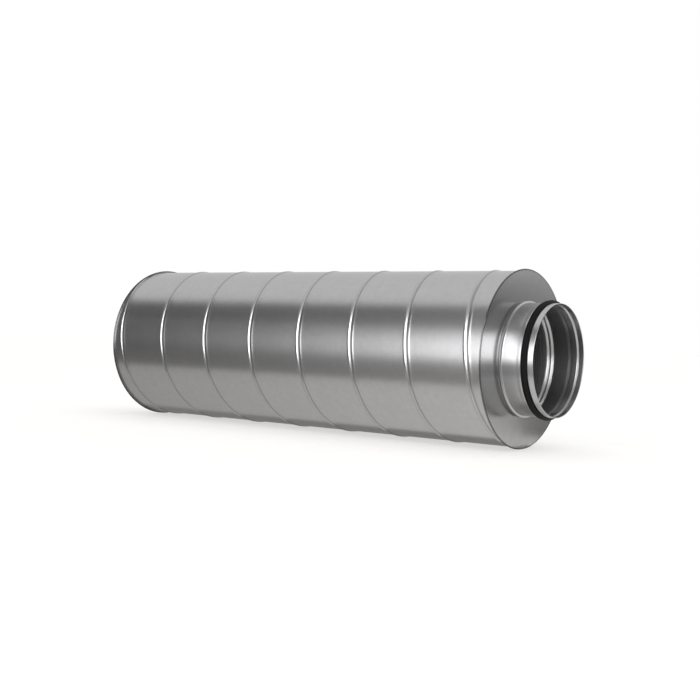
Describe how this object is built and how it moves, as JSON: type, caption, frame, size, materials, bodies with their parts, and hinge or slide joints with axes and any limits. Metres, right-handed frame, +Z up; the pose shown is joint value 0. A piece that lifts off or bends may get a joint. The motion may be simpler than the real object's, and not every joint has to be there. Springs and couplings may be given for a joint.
{
  "type": "duct sound attenuator",
  "caption": "Round duct silencer: a spiral-seam steel tube packed with wool round a perforated duct, with a folded end cap and a rubber-sealed push-in spigot at each end.",
  "frame": {"origin": "the middle of the casing, on the duct's axis", "axes": "+X along the duct, out of the front spigot; +Z up"},
  "size_m": [1.032, 0.319, 0.319],
  "materials": {
    "galvanised_sheet": "satin zinc-coated sheet, as rolled",
    "pressed_steel": "zinc-coated sheet, pressed and swaged, a little brighter on the beads",
    "seal_rubber": "matt black extruded rubber",
    "perforated_sheet": "zinc-coated perforated sheet",
    "fibre_fleece": "thin black fibre fleece",
    "mineral_wool": "felted mineral wool"
  },
  "bodies": {
    "root": {"outer_casing": "galvanised_sheet", "end_cap_front": "galvanised_sheet", "end_cap_rear": "galvanised_sheet", "spigot_front": "pressed_steel", "spigot_rear": "pressed_steel", "seal_front": "seal_rubber", "seal_rear": "seal_rubber", "perforated_duct": "perforated_sheet", "fleece_wrap": "fibre_fleece", "wool_mat": "mineral_wool"}
  },
  "joints": []
}
